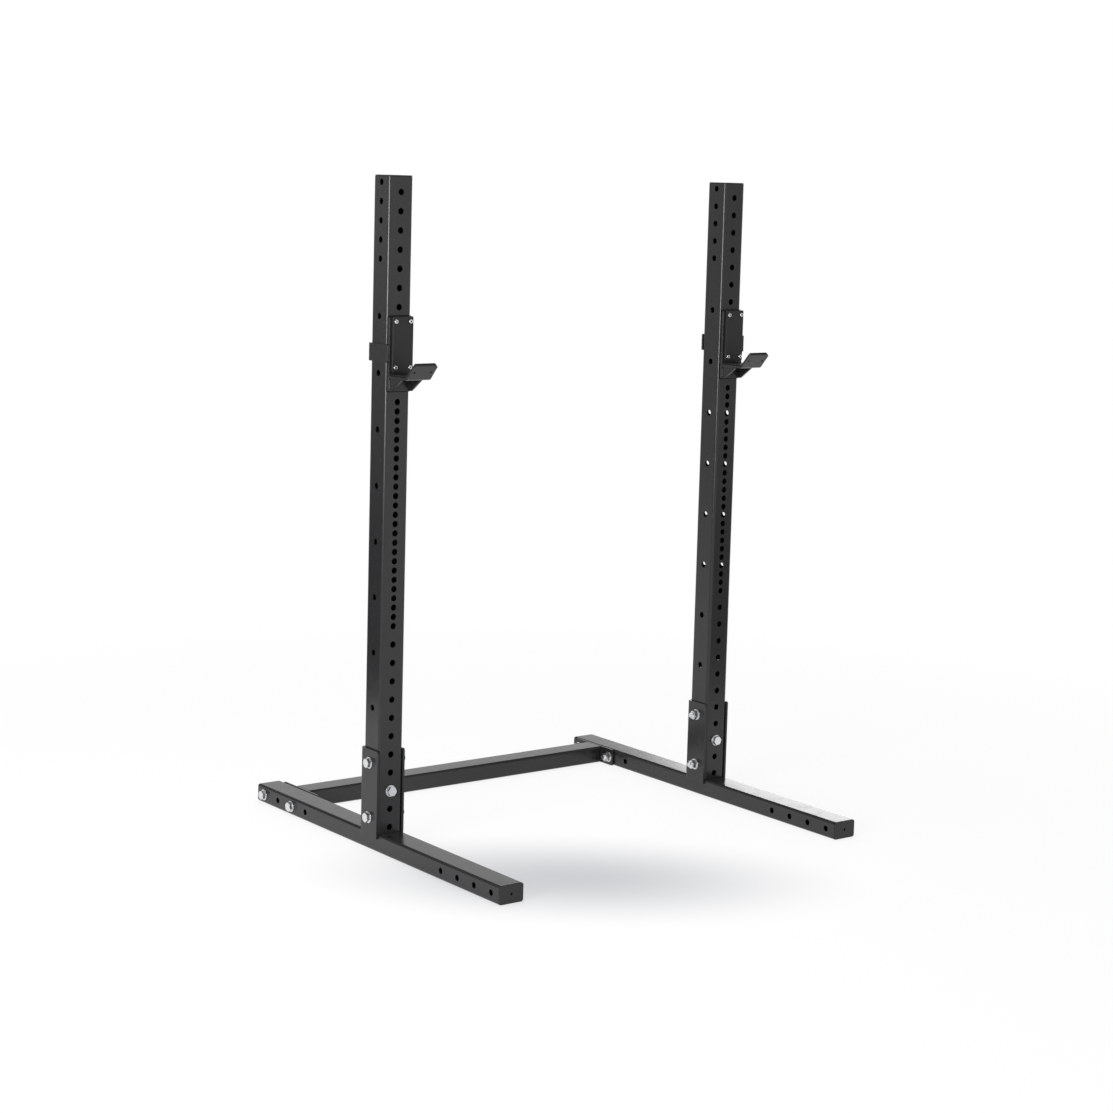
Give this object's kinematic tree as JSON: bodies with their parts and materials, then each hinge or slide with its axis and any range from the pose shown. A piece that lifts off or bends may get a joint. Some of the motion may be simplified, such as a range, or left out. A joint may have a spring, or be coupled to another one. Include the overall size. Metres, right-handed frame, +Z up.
{
  "type": "squat stand",
  "caption": "Free-standing squat stand: perforated square uprights on flat tube feet, a rear crossmember, bolted brackets and wrap-around J-cups with plastic liners.",
  "frame": {"origin": "on the floor, midway between the uprights and midway along the feet", "axes": "+Z up, +X to the right as the lifter faces the stand, +Y away from the lifter towards the rear crossmember; the J-cups open towards -Y"},
  "size_m": [1.2828, 1.2192, 1.8379],
  "materials": {
    "powder_coat": "fine textured charcoal powder coat",
    "zinc_steel": "bright zinc plate",
    "liner_plastic": "smooth black wear plastic",
    "cap_plastic": "moulded black plastic"
  },
  "bodies": {
    "frame": {"crossmember_left_flange": "powder_coat", "crossmember_right_flange": "powder_coat", "crossmember_tube": "powder_coat", "left_bracket_front_bolt": "zinc_steel", "left_bracket_front_nut": "zinc_steel", "left_bracket_lower_bolt": "zinc_steel", "left_bracket_lower_nut": "zinc_steel", "left_bracket_upper_bolt": "zinc_steel", "left_bracket_upper_nut": "zinc_steel", "left_crossmember_front_bolt": "zinc_steel", "left_crossmember_front_nut": "zinc_steel", "left_crossmember_rear_bolt": "zinc_steel", "left_crossmember_rear_nut": "zinc_steel", "left_foot_front_cap": "cap_plastic", "left_foot_rear_cap": "cap_plastic", "left_foot_tube": "powder_coat", "left_upright": "powder_coat", "left_upright_bracket": "powder_coat", "left_upright_cap": "cap_plastic", "right_bracket_front_bolt": "zinc_steel", "right_bracket_front_nut": "zinc_steel", "right_bracket_lower_bolt": "zinc_steel", "right_bracket_lower_nut": "zinc_steel", "right_bracket_upper_bolt": "zinc_steel", "right_bracket_upper_nut": "zinc_steel", "right_crossmember_front_bolt": "zinc_steel", "right_crossmember_front_nut": "zinc_steel", "right_crossmember_rear_bolt": "zinc_steel", "right_crossmember_rear_nut": "zinc_steel", "right_foot_front_cap": "cap_plastic", "right_foot_rear_cap": "cap_plastic", "right_foot_tube": "powder_coat", "right_upright": "powder_coat", "right_upright_bracket": "powder_coat", "right_upright_cap": "cap_plastic"},
    "left_jcup": {"left_jcup_back_pad": "liner_plastic", "left_jcup_face_plate": "powder_coat", "left_jcup_ledge": "powder_coat", "left_jcup_ledge_liner": "liner_plastic", "left_jcup_liner": "liner_plastic", "left_jcup_pin": "zinc_steel", "left_jcup_screw_1": "zinc_steel", "left_jcup_screw_2": "zinc_steel", "left_jcup_screw_3": "zinc_steel", "left_jcup_screw_4": "zinc_steel", "left_jcup_strap": "powder_coat"},
    "right_jcup": {"right_jcup_back_pad": "liner_plastic", "right_jcup_face_plate": "powder_coat", "right_jcup_ledge": "powder_coat", "right_jcup_ledge_liner": "liner_plastic", "right_jcup_liner": "liner_plastic", "right_jcup_pin": "zinc_steel", "right_jcup_screw_1": "zinc_steel", "right_jcup_screw_2": "zinc_steel", "right_jcup_screw_3": "zinc_steel", "right_jcup_screw_4": "zinc_steel", "right_jcup_strap": "powder_coat"}
  },
  "joints": [
    {"name": "left_jcup_swing", "type": "hinge", "parent": "frame", "child": "left_jcup", "pos_m": [-0.5842, -0.0381, 1.4383], "axis": [0, 1, 0], "range_deg": [0, 90]},
    {"name": "right_jcup_swing", "type": "hinge", "parent": "frame", "child": "right_jcup", "pos_m": [0.5842, -0.0381, 1.4383], "axis": [0, -1, 0], "range_deg": [0, 90]}
  ]
}
